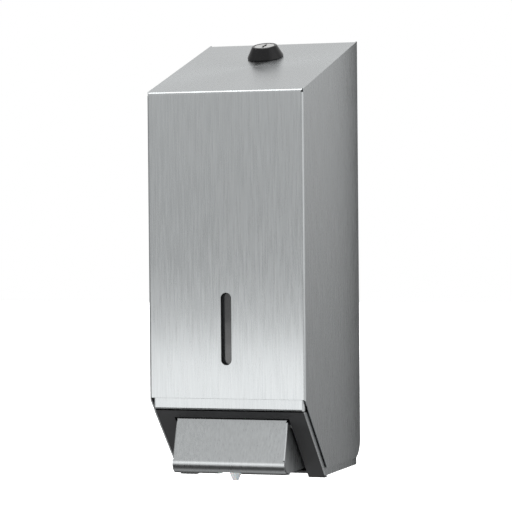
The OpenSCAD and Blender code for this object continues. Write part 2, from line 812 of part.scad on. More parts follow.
// Steel band over the cylinder
module pump_strap() {
    band_t = 1;
    r0 = cylinder_r + seat_gap;
    foot_z = pump_h + 0.05;
    color("silver") on_base() difference() {
        union() {
            intersection() {
                bar_y(r0 + band_t, strap_y - strap_w / 2, strap_y + strap_w / 2, 0, pump_h);
                block([-40, strap_y - strap_w, foot_z], [40, strap_y + strap_w, 60]);
            }
            block([-strap_x - 3.5, strap_y - strap_w / 2, foot_z],
                  [strap_x + 3.5, strap_y + strap_w / 2, foot_z + band_t]);
        }
        bar_y(r0, strap_y - strap_w, strap_y + strap_w, 0, pump_h);
        for (side = [-1, 1])
            translate([side * strap_x, strap_y, 0]) cylinder(r = 1.25 + seat_gap, h = 40);
    }
}

module strap_screws() {
    color("lightgrey") on_base() for (side = [-1, 1])
        translate([side * strap_x, strap_y, pump_h + 1.05]) {
            cylinder(r = 2.6, h = 1.6);
            translate([0, 0, -6]) cylinder(r = 1.25, h = 6);
        }
}

module inlet_ball() {
    color("silver") on_base() translate([0, inlet_y, ball_seat_z + ball_r]) sphere(r = ball_r);
}

module inlet_o_ring() {
    color([0.1, 0.1, 0.1]) on_base() translate([0, inlet_y, o_ring_z]) rotate_extrude()
        translate([o_ring_mid_r, 0]) circle(r = o_ring_r);
}

// Return spring around the stem, between the yoke and the cylinder's cap
module pump_spring() {
    y0 = spring_seat_y + spring_seat_t + 0.1;
    y1 = cylinder_front_y - cap_t - 0.1;
    pitch = (y1 - y0 - spring_wire) / spring_turns;
    steps = 10;
    rings = round(spring_turns * steps);
    sides = 8;
    points = [for (i = [0:rings], k = [0:sides - 1])
        let (a = 360 * i / steps,
             b = 360 * k / sides,
             r = spring_r + spring_wire / 2 * cos(b))
        [r * cos(a), y0 + spring_wire / 2 + pitch * i / steps + spring_wire / 2 * sin(b),
         r * sin(a)]];
    faces = concat(
        [for (i = [0:rings - 1], k = [0:sides - 1])
            let (n = (k + 1) % sides)
            [i * sides + k, i * sides + n, (i + 1) * sides + n, (i + 1) * sides + k]],
        [[for (k = [sides - 1:-1:0]) k], [for (k = [0:sides - 1]) rings * sides + k]]);
    color("silver") on_base() translate([0, 0, pump_h]) polyhedron(points, faces);
}

// Plunger: piston, hollow stem, yoke and the elbow that the nozzle hangs from
module plunger() {
    channel_r = 2.2;
    color("white") on_base() difference() {
        union() {
            bar_y(stem_d / 2, spout_y, piston_y + 1, 0, pump_h);
            bar_y(bore_r - fit_gap, piston_y, piston_y + piston_l, 0, pump_h);
            bar_y(spring_seat_r, spring_seat_y, spring_seat_y + spring_seat_t, 0, pump_h);
            block([-yoke_x, yoke_y, pump_h - 7], [yoke_x, yoke_y + yoke_t, pump_h + 7]);
            translate([0, spout_y, nozzle_root_z]) cylinder(r = spout_r, h = 17.5);
        }
        translate([0, piston_y + piston_l / 2, pump_h]) rotate([-90, 0, 0]) rotate_extrude()
            translate([bore_r - 2 * piston_ring_r - fit_gap, -piston_ring_r - seat_gap])
                square([3, 2 * (piston_ring_r + seat_gap)]);
        bar_y(channel_r, spout_y, piston_y + piston_l + 1, 0, pump_h);
        bar_y(3.2, piston_y - 3, piston_y + piston_l - 1, 0, pump_h);
        translate([0, spout_y, nozzle_root_z - 1]) cylinder(r = 2.95 + fit_gap, h = 7);
        translate([0, spout_y, nozzle_root_z - 1]) cylinder(r = channel_r, h = 13);
    }
}

module piston_ring() {
    color([0.1, 0.1, 0.1]) on_base() translate([0, piston_y + piston_l / 2, pump_h])
        rotate([-90, 0, 0]) rotate_extrude()
            translate([bore_r - piston_ring_r - fit_gap / 2, 0]) circle(r = piston_ring_r);
}

module outlet_ball() {
    color("silver") on_base() translate([0, piston_y, pump_h]) sphere(r = 2.8);
}

module nozzle() {
    color("gainsboro") on_base() translate([0, spout_y, 0]) rotate_extrude() polygon([
        [1.2, nozzle_tip_z], [nozzle_tip_d / 2, nozzle_tip_z],
        [nozzle_d / 2, nozzle_root_z - 1.6], [nozzle_d / 2, nozzle_root_z - 0.05],
        [2.95, nozzle_root_z - 0.05], [2.95, nozzle_root_z + 5.5], [1.2, nozzle_root_z + 5.5]]);
}

// ---------- reservoir ----------

module reservoir() {
    x = res_w / 2;
    rim = collar_rim + seat_gap;
    color([0.55, 0.57, 0.58]) on_base() difference() {
        union() {
            round_box(-x, x, res_front_y, res_rear_y, res_bottom_z, bottle_top_z, res_edge_r);
            translate([0, inlet_y, neck_bottom_z])
                cylinder(r = neck_r, h = res_bottom_z - neck_bottom_z + 1);
        }
        round_box(-x + res_wall, x - res_wall, res_front_y + res_wall, res_rear_y - res_wall,
                  res_bottom_z + res_wall, bottle_top_z - res_wall, res_edge_r - res_wall);
        round_box(-mouth_x - rim, mouth_x + rim, mouth_front_y - rim, mouth_back_y + rim,
                  bottle_top_z - res_wall - 1, bottle_top_z + 1, 5 + rim);
        translate([0, inlet_y, neck_bottom_z - 1])
            cylinder(r = inlet_r + seat_gap, h = inlet_top_z - neck_bottom_z + 1.5);
        translate([0, inlet_y, inlet_top_z]) cylinder(r = 5, h = 8);
    }
}

// Moulded collar round the bottle's mouth, with the ears of the lid's hinge
module mouth_collar() {
    ear_x = 12.3;
    ear_t = 3;
    color([0.35, 0.36, 0.37]) on_base() difference() {
        union() {
            round_box(-lid_x, lid_x, mouth_front_y - 5, lid_hinge_y + knuckle_r + 1,
                      bottle_top_z, res_top_h, 6);
            round_box(-mouth_x - collar_rim, mouth_x + collar_rim,
                      mouth_front_y - collar_rim, mouth_back_y + collar_rim,
                      bottle_top_z - res_wall, bottle_top_z + 1, 5 + collar_rim);
            both_sides() {
                bar_x(knuckle_r, ear_x, ear_x + ear_t, lid_hinge_y, lid_hinge_z);
                block([ear_x, lid_hinge_y - knuckle_r, res_top_h - 1],
                      [ear_x + ear_t, lid_hinge_y + knuckle_r, lid_hinge_z]);
            }
        }
        round_box(-mouth_x, mouth_x, mouth_front_y, mouth_back_y,
                  bottle_top_z - res_wall - 1, res_top_h + 1, 5);
        bar_x(lid_pin_r + fit_gap, -20, 20, lid_hinge_y, lid_hinge_z);
    }
}

// T rail on the bottle's rear, which slides down into the holder
module reservoir_rail() {
    color([0.35, 0.36, 0.37]) on_base() {
        block([-rail_neck, res_rear_y, rail_low_z],
              [rail_neck, res_rear_y + rail_neck_d, rail_low_z + rail_h]);
        block([-rail_head, res_rear_y + rail_neck_d, rail_low_z],
              [rail_head, res_rear_y + rail_neck_d + rail_head_d, rail_low_z + rail_h]);
    }
}

// Grooved block on the back plate that the reservoir's rail drops into
module reservoir_holder() {
    low_z = rail_low_z - rail_gap;
    high_z = rail_low_z + rail_h;
    head_y = res_rear_y + rail_neck_d;
    color("dimgrey") on_base() difference() {
        block([-holder_x, res_rear_y + 1, rail_low_z - 4], [holder_x, -back_t, high_z - 2]);
        block([-rail_neck - rail_gap, res_rear_y, low_z],
              [rail_neck + rail_gap, head_y + 0.5, high_z]);
        block([-rail_head - rail_gap, head_y - rail_gap, low_z],
              [rail_head + rail_gap, head_y + rail_head_d + rail_gap, high_z]);
        for (z = holder_rivet_z)
            bar_y(rivet_r + fit_gap, res_rear_y, 1, 0, z);
    }
}

module holder_rivets() {
    groove_y = res_rear_y + rail_neck_d + rail_head_d + rail_gap;
    color("lightgrey") on_base() for (z = holder_rivet_z)
        bar_y(rivet_r, groove_y + 0.8, 0, 0, z);
}

module lid_pin() {
    color("silver") on_base() bar_x(lid_pin_r, -15.6, 15.6, lid_hinge_y, lid_hinge_z);
}

module refill_lid() {
    low_z = res_top_h + seat_gap / 2 + gasket_t;
    front = mouth_front_y - 6;
    back = lid_hinge_y - knuckle_r - 0.6;
    color("dimgrey") on_base() difference() {
        union() {
            round_box(-lid_x, lid_x, front, back, low_z, low_z + lid_t, 6);
            block([-12, back - 1, low_z], [12, lid_hinge_y, low_z + lid_t]);
            bar_x(knuckle_r, -12, 12, lid_hinge_y, lid_hinge_z);
            // finger tab
            block([-8, front - 4, low_z + 0.6], [8, front + 1, low_z + lid_t]);
        }
        bar_x(lid_pin_r + fit_gap, -20, 20, lid_hinge_y, lid_hinge_z);
    }
}

module lid_gasket() {
    low_z = res_top_h + seat_gap / 2;
    margin = 1.5;
    rim = 3;
    color([0.1, 0.1, 0.1]) on_base() difference() {
        round_box(-mouth_x - rim, mouth_x + rim, mouth_front_y - rim, mouth_back_y + rim,
                  low_z, low_z + gasket_t, 5 + rim);
        round_box(-mouth_x - margin + 1, mouth_x + margin - 1, mouth_front_y - 0.5,
                  mouth_back_y + 0.5, low_z - 1, low_z + gasket_t + 1, 5.5);
    }
}

// ---------- drawing ----------

cover_shell();
hinge_studs();
lock_bezel();
lock_barrel();
lock_washer();
lock_nut();
lock_plug();
lock_cam();
cam_screw();
back_plate();
base_shell();
base_rivets();
hinge_bushes();
keeper_bracket();
front_frame();
pump_bracket();
bracket_screws();
floor_screws();
pump_cylinder();
cylinder_cap();
pump_strap();
strap_screws();
inlet_ball();
inlet_o_ring();
pump_spring();
pivot_rod();
rod_clips();
reservoir();
mouth_collar();
reservoir_rail();
reservoir_holder();
holder_rivets();
lid_pin();
lever_face();
lever_carrier();
carrier_nuts();
plunger();
piston_ring();
outlet_ball();
nozzle();
refill_lid();
lid_gasket();
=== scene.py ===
"""Looks of the wall mounted soap dispenser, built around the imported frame.

Sizes are millimetres, as in the CAD source, and heights are measured from the base's lower edge.
The function at() turns such a place into the frame's metres.
"""
import json
import math

import bmesh
import bpy
from mathutils import Matrix, Vector

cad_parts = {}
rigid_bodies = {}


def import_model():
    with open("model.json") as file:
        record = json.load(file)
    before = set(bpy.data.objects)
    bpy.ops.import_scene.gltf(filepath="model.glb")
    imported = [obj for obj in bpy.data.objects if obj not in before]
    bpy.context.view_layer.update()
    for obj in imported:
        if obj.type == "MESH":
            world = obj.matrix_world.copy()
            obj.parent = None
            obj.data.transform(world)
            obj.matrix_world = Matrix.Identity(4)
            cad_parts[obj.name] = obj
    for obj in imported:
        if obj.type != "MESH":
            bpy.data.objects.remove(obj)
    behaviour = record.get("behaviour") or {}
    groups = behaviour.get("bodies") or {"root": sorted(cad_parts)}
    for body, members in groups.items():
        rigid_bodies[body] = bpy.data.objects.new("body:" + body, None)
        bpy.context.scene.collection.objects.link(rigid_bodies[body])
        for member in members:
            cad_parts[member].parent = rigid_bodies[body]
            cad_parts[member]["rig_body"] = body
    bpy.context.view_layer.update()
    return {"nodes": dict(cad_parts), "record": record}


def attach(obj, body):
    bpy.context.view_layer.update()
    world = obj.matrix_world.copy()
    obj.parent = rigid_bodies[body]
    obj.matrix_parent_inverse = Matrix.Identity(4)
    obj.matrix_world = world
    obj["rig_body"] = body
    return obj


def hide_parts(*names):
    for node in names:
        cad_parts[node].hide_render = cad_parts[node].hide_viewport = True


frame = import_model()
nodes = frame["nodes"]

# ---------- sizes, in millimetres ----------

MM = 0.001
ORIGIN_H = 152.0        # height of the frame's origin above the base's lower edge

COVER_X = 52.5          # half width
COVER_FRONT_Y = -125.0
COVER_REAR_Y = -1.0
COVER_LOW = 5.0
COVER_CUT = 47.5        # height and depth of the 45 degree cut
COVER_REAR_TOP = 286.0
COVER_FRONT_TOP = 248.0
COVER_T = 1.0
COVER_BEND = 2.0
TOP_X = 51.25           # half width of the top sheet
CORNER_RELIEF = 2.0
REAR_FLANGE = 9.0
TOP_SLOPE = math.atan2(COVER_REAR_TOP - COVER_FRONT_TOP, COVER_REAR_Y - COVER_FRONT_Y)
HINGE_Y, HINGE_H, HINGE_CORNER = -13.5, 17.5, 12.5
SLOT_W, SLOT_L, SLOT_H = 7.0, 46.0, 97.0
HINGE_STEPS = 12        # flats that round the lower rear corner

BASE_X = 50.85
BASE_REAR_Y = -5.0
APRON_Y = -123.0
APRON_LOW = 45.2
APRON_TOP = 62.0
APRON_ROLL = 1.2
APRON_FLANGE = 9.0
SLIT = 0.8
BASE_BEND = 2.0
TAB_END_Y = -40.0       # where the raised front part of the sides ends
TAB_SLOPE_Y = -70.0     # where it starts to fall
TAB_DROP = 20.0
FACE_SUM = -76.884      # y + height all over the slanted front face of the base
BASE_T = 1.0

LEVER_X = 37.65
LEVER_T = 0.8
LEVER_LEAN = math.radians(17.6)
LEVER_TOP = (-115.484, 39.2)        # y and height of the face's upper edge
LEVER_FACE_H = 26.3
LEVER_RETURN = 4.0
FLANGE_LOW = 5.0
PIVOT_Y = -107.484
LEVER_FOLD = 1.2        # outer bend radius of the side flanges
LEVER_BEND = 1.0        # outer bend radius at the top return
FLANGE_DEPTH = 46.0     # the flanges before they are cut to shape
LIP_R = 6.8
LIP_FLANGE = 5.2
NOTCH_W = 15.0


# ---------- places and selections ----------


def at(x, y, z):
    """A place in millimetres, with the height from the base's lower edge, in frame metres."""
    return Vector((x, y, z - ORIGIN_H)) * MM


def place_of(co):
    """The millimetre place of a point of a mesh."""
    return Vector((co.x / MM, co.y / MM, co.z / MM + ORIGIN_H))


def deselect_all():
    if bpy.context.object and bpy.context.object.mode != "OBJECT":
        bpy.ops.object.mode_set(mode="OBJECT")
    bpy.ops.object.select_all(action="DESELECT")


def select_only(obj):
    deselect_all()
    obj.select_set(True)
    bpy.context.view_layer.objects.active = obj


def open_mesh(obj):
    select_only(obj)
    bpy.ops.object.mode_set(mode="EDIT")


def close_mesh():
    bpy.ops.object.mode_set(mode="OBJECT")


def pick(kind, test=None):
    """Selects the faces, edges or vertices of the open mesh whose middle passes the test."""
    bpy.ops.mesh.select_mode(type=kind)
    bpy.ops.mesh.select_all(action="DESELECT")
    mesh = bpy.context.edit_object.data
    bm = bmesh.from_edit_mesh(mesh)
    found = 0
    for item in {"FACE": bm.faces, "EDGE": bm.edges, "VERT": bm.verts}[kind]:
        if kind == "VERT":
            middle = place_of(item.co)
        else:
            middle = place_of(sum((v.co for v in item.verts), Vector()) / len(item.verts))
        if test is None or test(middle, item):
            item.select_set(True)
            found += 1
    bm.select_flush_mode()
    bmesh.update_edit_mesh(mesh)
    return found


def near(a, b, gap=0.02):
    return abs(a - b) < gap


def along(edge, axis):
    """Whether an edge runs along an axis, given as 0, 1 or 2."""
    run = edge.verts[1].co - edge.verts[0].co
    return abs(run[axis]) > 0.99 * run.length


def cut(point, normal, clear=False, where=None):
    """Cuts the open mesh with a plane, and may clear what lies on the normal's side."""
    pick("FACE", where)
    bpy.ops.mesh.bisect(plane_co=at(*point), plane_no=Vector(normal).normalized(),
                        clear_outer=clear, threshold=1e-7)


def drop_faces(test):
    if pick("FACE", test):
        bpy.ops.mesh.delete(type="FACE")


def bend(test, radius, turn=90.0, segments=8):
    """Rounds edges of the open mesh as a folded sheet's bend of that outer radius."""
    pick("EDGE", test)
    bpy.ops.mesh.bevel(offset=radius * math.tan(math.radians(turn / 2)) * MM,
                       segments=segments, affect="EDGES")


def fold_on(move):
    """Extrudes the selected edges by a move in millimetres."""
    bpy.ops.mesh.extrude_edges_move(TRANSFORM_OT_translate={"value": Vector(move) * MM})


# ---------- making pieces ----------


def new_box(name, low, high):
    """A box to shape, between two corners."""
    deselect_all()
    lo, hi = at(*low), at(*high)
    bpy.ops.mesh.primitive_cube_add(size=1, location=(lo + hi) / 2, scale=hi - lo)
    return settle(name)


def settle(name):
    """Names the active object and puts its place into its mesh."""
    obj = bpy.context.object
    obj.name = name
    obj.data.name = name
    bpy.ops.object.transform_apply(location=True, rotation=True, scale=True)
    return obj


def apply_modifier(obj, kind, **settings):
    select_only(obj)
    modifier = obj.modifiers.new(kind, kind)
    for key, value in settings.items():
        setattr(modifier, key, value)
    bpy.ops.object.modifier_apply(modifier=modifier.name)


def give_thickness(obj, thickness):
    """Turns an open sheet into solid plate, inwards from its outer face."""
    apply_modifier(obj, "SOLIDIFY", thickness=thickness * MM, offset=-1,
                   use_even_offset=True, use_quality_normals=True)


def soften(obj, width, segments=2, angle=35.0):
    """Breaks the sharp edges, as deburring or a mould does, and keeps flat faces flat."""
    apply_modifier(obj, "BEVEL", width=width * MM, segments=segments, limit_method="ANGLE",
                   angle_limit=math.radians(angle), use_clamp_overlap=True,
                   miter_outer="MITER_ARC")
    select_only(obj)
    bpy.ops.object.shade_smooth_by_angle(angle=math.radians(40))
    apply_modifier(obj, "WEIGHTED_NORMAL", weight=100, keep_sharp=True)


def bore(obj, cutter):
    """Cuts the cutter's shape out of a piece and removes the cutter."""
    apply_modifier(obj, "BOOLEAN", operation="DIFFERENCE", solver="EXACT", object=cutter)
    bpy.data.objects.remove(cutter)


def show(obj, body, material, slot, *replaced):
    """Puts a finished piece on its body, in its material, in place of CAD nodes."""
    obj.data.materials.clear()
    obj.data.materials.append(material)
    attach(obj, body)
    if replaced:
        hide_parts(*replaced)
    return obj


def refined(node, width, material, slot, angle=35.0):
    """A copy of a CAD node with its edges softened, shown in its place."""
    source = nodes[node]
    select_only(source)
    bpy.ops.object.duplicate()
    obj = bpy.context.object
    obj.parent = None
    obj.name = node + "_fine"
    obj.data.name = obj.name
    for key in list(obj.keys()):
        del obj[key]
    open_mesh(obj)
    bpy.ops.mesh.select_all(action="SELECT")
    bpy.ops.mesh.remove_doubles(threshold=0.002 * MM)
    bpy.ops.mesh.customdata_custom_splitnormals_clear()
    bpy.ops.mesh.dissolve_limited(angle_limit=math.radians(1.0))
    close_mesh()
    soften(obj, width, angle=angle)
    return show(obj, source["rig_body"], material, slot, node)


# ---------- materials ----------


class Finish:
    """A node material with one Principled shader, built up step by step."""

    def __init__(self, name, color, metallic=0.0, roughness=0.5, **sockets):
        self.material = bpy.data.materials.new(name)
        self.material.use_nodes = True
        self.tree = self.material.node_tree
        self.shader = self.tree.nodes["Principled BSDF"]
        self.set("Base Color", (*color, 1.0))
        self.set("Metallic", metallic)
        self.set("Roughness", roughness)
        for key, value in sockets.items():
            self.set(key.replace("_", " "), value)
        self.height = None

    def set(self, socket, value):
        self.shader.inputs[socket].default_value = value

    def node(self, kind, **inputs):
        node = self.tree.nodes.new(kind)
        for key, value in inputs.items():
            node.inputs[key.replace("_", " ")].default_value = value
        return node

    def link(self, start, end):
        self.tree.links.new(start, end)

    def noise(self, stretch, detail=3.0, roughness=0.6):
        """Noise on the piece's own coordinates; stretch gives its cells per metre on each axis."""
        coordinates = self.node("ShaderNodeTexCoord")
        mapping = self.node("ShaderNodeMapping", Scale=stretch)
        noise = self.node("ShaderNodeTexNoise", Scale=1.0, Detail=detail, Roughness=roughness)
        self.link(coordinates.outputs["Object"], mapping.inputs["Vector"])
        self.link(mapping.outputs["Vector"], noise.inputs["Vector"])
        return noise.outputs["Fac"]

    def spread(self, value, low, high, start=0.25, end=0.75):
        """Maps a pattern to the range low to high."""
        scale = self.node("ShaderNodeMapRange", From_Min=start, From_Max=end, To_Min=low, To_Max=high)
        self.link(value, scale.inputs["Value"])
        return scale.outputs["Result"]

    def rough(self, value, low, high):
        self.link(self.spread(value, low, high), self.shader.inputs["Roughness"])

    def tint(self, value, dark, light, start=0.25, end=0.75):
        """Lets a pattern vary the colour between two close shades."""
        mix = self.node("ShaderNodeMix")
        mix.data_type = "RGBA"
        colors = [s for s in mix.inputs if s.type == "RGBA"]
        colors[0].default_value = (*dark, 1.0)
        colors[1].default_value = (*light, 1.0)
        self.link(self.spread(value, 0.0, 1.0, start, end), mix.inputs["Factor"])
        result = [s for s in mix.outputs if s.type == "RGBA"][0]
        self.link(result, self.shader.inputs["Base Color"])

    def bump(self, value, distance, strength=1.0):
        """Adds relief of a height in millimetres; calls stack."""
        bump = self.node("ShaderNodeBump", Strength=strength, Distance=distance * MM)
        self.link(value, bump.inputs["Height"])
        if self.height is not None:
            self.link(self.height, bump.inputs["Normal"])
        self.height = bump.outputs["Normal"]
        self.link(self.height, self.shader.inputs["Normal"])

    def grain_axis(self, axis="Z"):
        tangent = self.node("ShaderNodeTangent")
        tangent.direction_type = "RADIAL"
        tangent.axis = axis
        self.link(tangent.outputs["Tangent"], self.shader.inputs["Tangent"])


def brushed_steel(name, shade, roughness, streaks=0.11):
    """Stainless sheet with an upright brushed grain: hairlines, wider streaks and faint clouds."""
    tone = (0.965, 1.0, 1.012)
    finish = Finish(name, tuple(shade * c for c in tone), metallic=1.0, roughness=roughness,
                    Anisotropic=0.55)
    hairlines = finish.noise((2600, 2600, 90), detail=2.0)
    streak = finish.noise((950, 950, 45), detail=3.0)
    clouds = finish.noise((18, 18, 12), detail=2.0)
    mixed = finish.node("ShaderNodeMath")
    mixed.operation = "MULTIPLY_ADD"
    finish.link(streak, mixed.inputs[0])
    mixed.inputs[1].default_value = 0.6
    half = finish.spread(clouds, 0.1, 0.3)
    finish.link(half, mixed.inputs[2])
    finish.tint(streak, tuple(shade * (1 - streaks) * c for c in tone),
                tuple(shade * (1 + streaks) * c for c in tone))
    finish.rough(mixed.outputs["Value"], roughness - 0.05, roughness + 0.05)
    finish.bump(streak, 0.0004)
    finish.bump(hairlines, 0.0010)
    finish.grain_axis()
    return finish.material


def plain_sheet(name, shade, roughness):
    """Mill finish sheet: soft clouds and a fine even grain."""
    finish = Finish(name, (shade, shade, shade), metallic=1.0, roughness=roughness)
    clouds = finish.noise((30, 30, 30), detail=4.0)
    grain = finish.noise((1500, 1500, 1500), detail=2.0)
    finish.tint(clouds, (shade * 0.93,) * 3, (shade * 1.05,) * 3)
    finish.rough(clouds, roughness - 0.05, roughness + 0.08)
    finish.bump(grain, 0.002)
    return finish.material


def turned_metal(name, color, roughness):
    """Small turned and plated hardware."""
    finish = Finish(name, color, metallic=1.0, roughness=roughness)
    grain = finish.noise((2200, 2200, 2200), detail=2.0)
    clouds = finish.noise((260, 260, 260), detail=3.0)
    finish.tint(clouds, tuple(c * 0.9 for c in color), tuple(min(1, c * 1.06) for c in color))
    finish.rough(clouds, roughness - 0.04, roughness + 0.06)
    finish.bump(grain, 0.0015)
    return finish.material


def moulded_plastic(name, color, roughness, texture=0.006, **sockets):
    """Plastic with the fine spark texture of its mould."""
    finish = Finish(name, color, roughness=roughness, **sockets)
    pits = finish.noise((1700, 1700, 1700), detail=3.0)
    clouds = finish.noise((45, 45, 45), detail=3.0)
    finish.tint(clouds, tuple(c * 0.9 for c in color), tuple(min(1, c * 1.1) for c in color))
    finish.rough(pits, roughness - 0.05, roughness + 0.06)
    finish.bump(pits, texture)
    return finish.material


def make_finishes():
    return {
        "brushed_steel": brushed_steel("brushed_steel", 0.52, 0.28),
        "plain_steel": plain_sheet("mill_steel", 0.50, 0.36),
        "bright_steel": turned_metal("bright_steel", (0.66, 0.66, 0.65), 0.18),
        "spring_steel": turned_metal("spring_wire", (0.50, 0.50, 0.50), 0.24),
        "zinc": turned_metal("zinc_plate", (0.60, 0.61, 0.62), 0.33),
        "plug_steel": turned_metal("satin_plug", (0.68, 0.68, 0.67), 0.26),
        "gloss_black": moulded_plastic("gloss_black", (0.004, 0.004, 0.0045), 0.14, 0.0008,
                                       Specular_IOR_Level=0.32),
        "black_plastic": moulded_plastic("satin_black", (0.0105, 0.0108, 0.0115), 0.46),
        "lid_plastic": moulded_plastic("dark_lid", (0.09, 0.09, 0.095), 0.42),
        "smoked_plastic": moulded_plastic("smoked_bottle", (0.020, 0.021, 0.022), 0.14, 0.0006,
                                          Coat_Weight=1.0, Coat_Roughness=0.05),
        "natural_plastic": moulded_plastic("natural_moulding", (0.72, 0.72, 0.69), 0.40,
                                           Subsurface_Weight=0.25, Subsurface_Scale=0.004),
        "white_plastic": moulded_plastic("white_moulding", (0.80, 0.80, 0.78), 0.38,
                                         Subsurface_Weight=0.2, Subsurface_Scale=0.003),
        "nozzle_plastic": moulded_plastic("milky_nozzle", (0.30, 0.31, 0.315), 0.30, 0.002,
                                          Subsurface_Weight=0.3, Subsurface_Scale=0.002),
        "seal_rubber": moulded_plastic("seal_rubber", (0.018, 0.018, 0.018), 0.6),
    }


# ---------- cover ----------


def make_cover(steel):
    """The folded cover: front and sides in one U, and a top that folds back from the front."""
    cover = new_box("steel_cover", (-COVER_X, COVER_FRONT_Y, COVER_LOW),
                    (COVER_X, COVER_REAR_Y, COVER_REAR_TOP))
    open_mesh(cover)
    drop_faces(lambda p, f: f.normal.y > 0.9 or abs(f.normal.z) > 0.9)
    bend(lambda p, e: along(e, 2) and near(p.y, COVER_FRONT_Y), COVER_BEND)
    cut((0, COVER_FRONT_Y, COVER_LOW + COVER_CUT), (0, -1, -1), clear=True)
    cut((0, COVER_REAR_Y, COVER_REAR_TOP), (0, -math.sin(TOP_SLOPE), math.cos(TOP_SLOPE)),
        clear=True)
    for step in range(1, HINGE_STEPS):
        turn = math.radians(90 * step / HINGE_STEPS)
        out = Vector((0, math.cos(turn), -math.sin(turn)))
        cut((0, HINGE_Y + HINGE_CORNER * out.y, HINGE_H + HINGE_CORNER * out.z), out, clear=True)
    relief_h = COVER_FRONT_TOP - CORNER_RELIEF
    cut((0, 0, relief_h), (0, 0, 1))
    side_y = COVER_FRONT_Y + COVER_BEND
    drop_faces(lambda p, f: p.z > relief_h and p.y < side_y - 0.01)
    # the top sheet, from the front's upper edge to the flange at the wall
    pick("EDGE", lambda p, e: along(e, 0) and near(p.z, relief_h) and near(p.y, COVER_FRONT_Y))
    fold_on((0, 0, CORNER_RELIEF))
    bpy.ops.transform.resize(value=(TOP_X / (COVER_X - COVER_BEND), 1, 1),
                             center_override=at(0, COVER_FRONT_Y, COVER_FRONT_TOP))
    fold_on((0, COVER_REAR_Y - COVER_FRONT_Y, COVER_REAR_TOP - COVER_FRONT_TOP))
    fold_on((0, 0, -REAR_FLANGE))
    slope = math.degrees(TOP_SLOPE)
    bend(lambda p, e: along(e, 0) and near(p.z, COVER_FRONT_TOP) and near(p.y, COVER_FRONT_Y),
         COVER_BEND, 90 - slope)
    bend(lambda p, e: along(e, 0) and near(p.z, COVER_REAR_TOP), COVER_BEND, 90 + slope)
    close_mesh()
    give_thickness(cover, COVER_T)
    slot = new_box("slot_cutter", (-SLOT_W / 2, COVER_FRONT_Y - 3, SLOT_H - SLOT_L / 2),
                   (SLOT_W / 2, COVER_FRONT_Y + 3, SLOT_H + SLOT_L / 2))
    open_mesh(slot)
    bend(lambda p, e: along(e, 1), SLOT_W / 2 - 0.01, segments=16)
    close_mesh()
    bore(cover, slot)
    soften(cover, 0.14)
    show(cover, "cover", steel, "brushed_steel", "cover_shell")


# ---------- base ----------


def make_base(steel):
    """The base sheet: two sides with the slanted front edge, and the apron above the lever."""
    base = new_box("steel_base", (-BASE_X, APRON_Y, 0), (BASE_X, BASE_REAR_Y, APRON_TOP))
    open_mesh(base)
    drop_faces(lambda p, f: f.normal.y > 0.9 or abs(f.normal.z) > 0.9)
    bend(lambda p, e: along(e, 2) and near(p.y, APRON_Y), BASE_BEND)
    slit_low = APRON_LOW - SLIT
    slit_end = APRON_Y + APRON_FLANGE
    cut((0, 0, APRON_LOW), (0, 0, 1))
    cut((0, 0, slit_low), (0, 0, 1), where=lambda p, f: p.z < APRON_LOW)
    cut((0, slit_end, 0), (0, 1, 0), where=lambda p, f: slit_low < p.z < APRON_LOW)
    drop_faces(lambda p, f: slit_low < p.z < APRON_LOW and p.y < slit_end)
    drop_faces(lambda p, f: p.z < slit_low and p.y < APRON_Y + BASE_BEND - 0.01)
    cut((0, FACE_SUM, 0), (0, -1, -1), clear=True, where=lambda p, f: p.z < APRON_LOW)
    rear_top = APRON_TOP - TAB_DROP
    cut((0, TAB_END_Y, 0), (0, 1, 0), where=lambda p, f: p.z > APRON_LOW)
    cut((0, 0, rear_top), (0, 0, 1), clear=True,
        where=lambda p, f: p.z > APRON_LOW and p.y > TAB_END_Y)
    cut((0, TAB_SLOPE_Y, APRON_TOP), (0, TAB_DROP, TAB_END_Y - TAB_SLOPE_Y), clear=True,
        where=lambda p, f: p.z > rear_top - TAB_DROP and p.z > APRON_LOW and p.y < TAB_END_Y)
    # the rolled lower edge of the apron
    pick("EDGE", lambda p, e: along(e, 0) and near(p.z, APRON_LOW) and near(p.y, APRON_Y))
    fold_on((0, APRON_FLANGE, 0))
    bend(lambda p, e: along(e, 0) and near(p.z, APRON_LOW) and near(p.y, APRON_Y), APRON_ROLL)
    close_mesh()
    give_thickness(base, BASE_T)
    soften(base, 0.14)
    show(base, "base", steel, "brushed_steel", "base_shell")


# ---------- lever ----------


